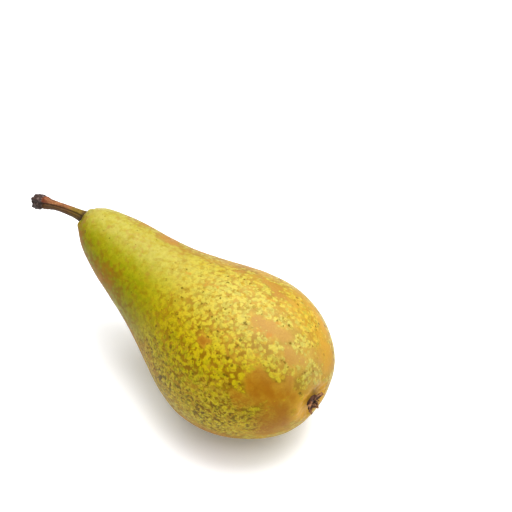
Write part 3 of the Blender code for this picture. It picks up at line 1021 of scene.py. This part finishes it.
def stem_places(part, turn, across, look):
    """Return where the rod's points go: round the stem's middle line, with its end face domed."""
    stations, radii = zip(*STEM_PROFILE)
    radius = smooth_curve(stations, np.array(radii) * MM)(part) + bark_relief(part, turn, look)
    middle, ahead, side, above = stem_frames(part)
    places = middle + side * (np.sin(turn) * radius * across)[:, None]
    places += above * (np.cos(turn) * radius * across)[:, None]
    dome = np.where(part > 0.999, 1 - across, 0) * 0.55 * MM
    return places + ahead * dome[:, None]


def roughen_bark(made):
    """Roughen the bark and return how deep each point sank, in millimetres."""
    before = points_of(made.data)
    displace(made, 0.22 * MM, 1.1 * MM)
    displace(made, 0.07 * MM, 0.35 * MM)
    raised = (points_of(made.data) - before) * normals_of(made.data)
    return -raised.sum(axis=1) / MM


def add_stem_fields(mesh, part, turn, sunk):
    """Store each point's place on the stem laid straight, how far round it is towards the lower side, and
    where the bark sank into hollows or runs in furrows, for the painted shade of the stem.
    """
    furrowed = ease(part, 0.18, 0.3) * (1 - ease(part, 0.86, 0.92))
    add_fields(
        mesh,
        X=part * STEM_LENGTH,
        Y=np.sin(turn) * 2,
        Z=np.cos(turn) * 2,
        part=part,
        under=(1 - np.cos(turn - math.radians(50))) / 2,
        furrow=furrow(part, turn) * furrowed,
        hollow=ease(sunk, 0.02, 0.10),
    )


class PEAR_OT_stem(Operator):
    """Make the woody stem with its ridges, its flared foot and its knob"""

    bl_idname = "pear.stem"
    bl_label = "Make stem"

    def execute(self, context):
        look = context.scene.pear_stem
        made = add_rod(look.steps_round, look.steps_along)
        made.name = made.data.name = "pear_stem"
        edit_top(made)
        for _ in range(END_RINGS):
            bpy.ops.mesh.inset(thickness=1 / (END_RINGS + 1))
        bpy.ops.mesh.poke()
        end_edit()
        points = points_of(made.data)
        part = points[:, 2] + 0.5
        across = np.hypot(points[:, 0], points[:, 1])
        turn = np.arctan2(points[:, 0], points[:, 1])
        set_points(made.data, moved(stem_places(part, turn, across, look), OWN_TO_ROW))
        push_out(made.data, knob_buds(points_of(made.data), part))
        add_stem_fields(made.data, part, turn, roughen_bark(made))
        add_modifier(made, "SUBSURF", levels=1, render_levels=1)
        dress(made, stem_material(look), "stem", "stem")
        return {"FINISHED"}


def calyx_material(look):
    """Dry dark sepals with tan edges."""
    r = Recipe("dried calyx")
    own = r.own_millimetres(CALYX_TO_ROW)
    edge = r.field("edge")
    crumple = r.noise(own, 0.5, detail=4.0, roughness=0.65)
    share = r.broken_step(r.times(edge, 0.6), crumple, 0.5, 0.15, 0.55)
    dark = r.inverse(r.step(r.noise(own, 1.1, detail=2.0), 0.36, 0.52))
    return r.finished({
        "Base Color": r.layered(look.dry, (share, 1, look.pale), (dark, 0.6, CALYX_SHADOW)),
        "Roughness": 0.78,
        "Normal": r.bump(crumple, 0.10 * MM),
    })


def make_sepal(index, look, rng):
    """Make one dried sepal: a pointed leaf that spreads out, shrivels and turns up at its tip."""
    bpy.ops.mesh.primitive_grid_add(x_subdivisions=34, y_subdivisions=18, size=2)
    leaf = bpy.context.object
    points = points_of(leaf.data)
    along = (points[:, 0] + 1) / 2
    across = points[:, 1]
    width = look.sepal_width / 2 * (1 - along ** 1.9) ** 0.7 * (0.72 + 0.5 * swell(along, 0.35, 0.5))
    length = look.sepal_length * rng.uniform(0.85, 1.15)
    start = math.radians(rng.uniform(64, 86))
    curl = math.radians(rng.uniform(-5, 75))
    steps = np.linspace(0, 1, 60)
    step_heading = start - curl * steps ** 1.6
    out = np.cumsum(np.sin(step_heading)) * length / len(steps)
    up = np.cumsum(np.cos(step_heading)) * length / len(steps)
    heading = start - curl * along ** 1.6
    fold = 0.55 * np.sin(4.5 * along + 2.2 * across + rng.uniform(0, 6)) * along
    fold += 0.30 * np.sin(10 * along - 4 * across + rng.uniform(0, 6))
    fold += 0.16 * np.sin(19 * along + 9 * across + rng.uniform(0, 6))
    aside = (0.75 * across ** 2 + fold) * 0.7 * MM
    twist = rng.uniform(-0.9, 0.9) * along
    x = look.cup_radius * 0.78 + np.interp(along, steps, out) - aside * np.cos(heading)
    z = 0.85 * MM + np.interp(along, steps, up) + aside * np.sin(heading)
    y = across * width * np.cos(twist) + 0.5 * MM * rng.uniform(-1, 1) * along ** 2
    z += across * width * np.sin(twist) * 0.6
    set_points(leaf.data, np.stack([x, y, z], axis=1))
    add_modifier(leaf, "SOLIDIFY", thickness=0.34 * MM, offset=0)
    add_modifier(leaf, "SUBSURF", levels=1, render_levels=1)
    displace(leaf, 0.28 * MM, 0.45 * MM)
    turn = math.tau * (index + rng.uniform(-0.2, 0.2)) / look.sepals + 0.35
    leaf.data.transform(CALYX_TO_ROW @ Matrix.Rotation(turn, 4, "Z"))
    return leaf


def make_stamen(index, look, rng):
    """Make one dry stamen: a thin bent thread with a small head."""
    thread = add_rod(STAMEN_SIDES, STAMEN_RINGS)
    points = points_of(thread.data)
    part = points[:, 2] + 0.5
    radius = (0.13 + 0.16 * swell(part, 0.88, 0.16)) * MM
    length = rng.uniform(1.1, 2.5) * MM
    bend = rng.uniform(0.2, 1.1) * MM * part ** 2
    x = points[:, 0] * radius + rng.uniform(0.4, 1.7) * MM + bend
    y = points[:, 1] * radius + rng.uniform(-0.5, 0.5) * MM * part ** 2
    z = 0.4 * MM + part * length
    set_points(thread.data, np.stack([x, y, z], axis=1))
    add_modifier(thread, "SUBSURF", levels=1, render_levels=1)
    turn = math.tau * (index + rng.uniform(-0.3, 0.3)) / look.stamens
    thread.data.transform(CALYX_TO_ROW @ Matrix.Rotation(turn, 4, "Z"))
    return thread


def make_cup(look):
    """Make the low cup that the sepals and the stamens grow from."""
    bpy.ops.mesh.primitive_cylinder_add(
        vertices=72, radius=look.cup_radius, depth=1.3 * MM, location=(0, 0, 0.55 * MM),
    )
    cup = bpy.context.object
    bpy.ops.object.transform_apply(location=True, rotation=True, scale=True)
    edit_top(cup)
    bpy.ops.mesh.inset(thickness=0.45 * MM)
    bpy.ops.mesh.inset(thickness=0.25 * MM)
    bpy.ops.transform.translate(value=(0, 0, -0.4 * MM))
    bpy.ops.mesh.inset(thickness=0.5 * MM)
    bpy.ops.mesh.inset(thickness=0.5 * MM)
    bpy.ops.mesh.poke()
    end_edit()
    add_modifier(cup, "BEVEL", width=0.12 * MM, segments=2)
    add_modifier(cup, "SUBSURF", levels=2, render_levels=2)
    displace(cup, 0.35 * MM, 0.8 * MM)
    cup.data.transform(CALYX_TO_ROW)
    return cup


def join(pieces, name):
    """Join pieces into one object with this name."""
    only(pieces[0])
    for piece in pieces:
        piece.select_set(True)
    bpy.ops.object.join()
    joined = bpy.context.object
    joined.name = joined.data.name = name
    joined.matrix_world = Matrix.Identity(4)
    return joined


class PEAR_OT_calyx(Operator):
    """Make the dried calyx: its cup, its shrivelled sepals and its dry stamens"""

    bl_idname = "pear.calyx"
    bl_label = "Make calyx"

    def execute(self, context):
        look = context.scene.pear_calyx
        surface = calyx_material(look)
        rng = np.random.default_rng(14)
        groups = {
            "calyx_cup": [make_cup(look)],
            "calyx_sepals": [make_sepal(index, look, rng) for index in range(look.sepals)],
            "calyx_stamens": [make_stamen(index, look, rng) for index in range(look.stamens)],
        }
        to_own = CALYX_TO_ROW.inverted()
        for name, pieces in groups.items():
            made = join(pieces, name)
            places = moved(points_of(made.data), to_own) / MM
            add_fields(made.data, edge=ease(places[:, 2], 0.8, 2.6))
            dress(made, surface, "calyx", "calyx")
        return {"FINISHED"}


def aim(obj, place, target):
    """Put a lamp or a camera at a place, looking at a target."""
    obj.location = place
    obj.rotation_euler = (target - place).to_track_quat("-Z", "Y").to_euler()


def add_softbox(name, distance, side, power, target):
    """Add a square soft light at this distance from the target, on the side that the light is on."""
    lamp = bpy.data.lights.new(name, "AREA")
    lamp.shape = "SQUARE"
    lamp.size = side
    lamp.energy = power
    aim(add_object(name, lamp), target + LIGHT_SIDE.normalized() * distance, target)


class PEAR_OT_stage(Operator):
    """Make the pale floor, the soft lights and the camera"""

    bl_idname = "pear.stage"
    bl_label = "Make stage"

    def execute(self, context):
        look = context.scene.pear_stage
        bpy.ops.object.select_all(action="DESELECT")
        bpy.ops.mesh.primitive_plane_add(size=look.floor_side)
        floor = context.object
        floor.name = "floor"
        surface = Recipe("pale floor").finished({
            "Base Color": look.floor,
            "Emission Color": (1, 1, 1),
            "Emission Strength": look.floor_glow,
            "Roughness": 0.6,
            "Specular IOR Level": 0.2,
        })
        floor.data.materials.append(surface)

        centre = (CAD_BOX[0] + CAD_BOX[1]) / 2
        add_softbox("key", KEY_DISTANCE, look.key_side, look.key_power, centre)
        add_softbox("sheen", SHEEN_DISTANCE, look.sheen_side, look.sheen_power, centre)

        world = bpy.data.worlds.new("pale room")
        world.use_nodes = True
        backdrop = world.node_tree.nodes["Background"]
        backdrop.inputs["Color"].default_value = (1, 1, 1, 1)
        seen = world.node_tree.nodes.new("ShaderNodeLightPath").outputs["Is Camera Ray"]
        strength = world.node_tree.nodes.new("ShaderNodeMapRange")
        strength.inputs["To Min"].default_value = look.sky
        world.node_tree.links.new(seen, strength.inputs["Value"])
        world.node_tree.links.new(strength.outputs["Result"], backdrop.inputs["Strength"])
        context.scene.world = world
        context.scene.view_settings.view_transform = "Standard"

        lens = bpy.data.cameras.new("camera")
        lens.lens = CAMERA_LENS
        lens.sensor_width = 36
        lens.clip_start = 0.01
        camera = add_object("camera", lens)
        aim(camera, CAMERA_PLACE, CAMERA_TARGET)
        context.scene.camera = camera
        return {"FINISHED"}


class PEAR_PT_panel(Panel):
    """The pear's operators and their settings"""

    bl_idname = "PEAR_PT_panel"
    bl_label = "Pear"
    bl_space_type = "VIEW_3D"
    bl_region_type = "UI"
    bl_category = "Pear"

    def draw(self, context):
        for operator, settings, group in STEPS:
            box = self.layout.box()
            box.operator(operator.bl_idname)
            for name in group.__annotations__:
                box.prop(getattr(context.scene, settings), name)


# Each operator, with the name that its settings have on the scene and their class.
STEPS = (
    (PEAR_OT_skin, "pear_skin", PearSkinSettings),
    (PEAR_OT_stem, "pear_stem", PearStemSettings),
    (PEAR_OT_calyx, "pear_calyx", PearCalyxSettings),
    (PEAR_OT_stage, "pear_stage", PearStageSettings),
)


def register():
    for operator, name, group in STEPS:
        bpy.utils.register_class(group)
        setattr(bpy.types.Scene, name, PointerProperty(type=group))
        bpy.utils.register_class(operator)
    bpy.utils.register_class(PEAR_PT_panel)


def unregister():
    bpy.utils.unregister_class(PEAR_PT_panel)
    for operator, name, group in reversed(STEPS):
        bpy.utils.unregister_class(operator)
        delattr(bpy.types.Scene, name)
        bpy.utils.unregister_class(group)


def main():
    register()
    bpy.ops.object.select_all(action="DESELECT")
    bpy.ops.pear.skin()
    bpy.ops.pear.stem()
    bpy.ops.pear.calyx()
    bpy.ops.pear.stage()


if __name__ == "__main__":
    main()
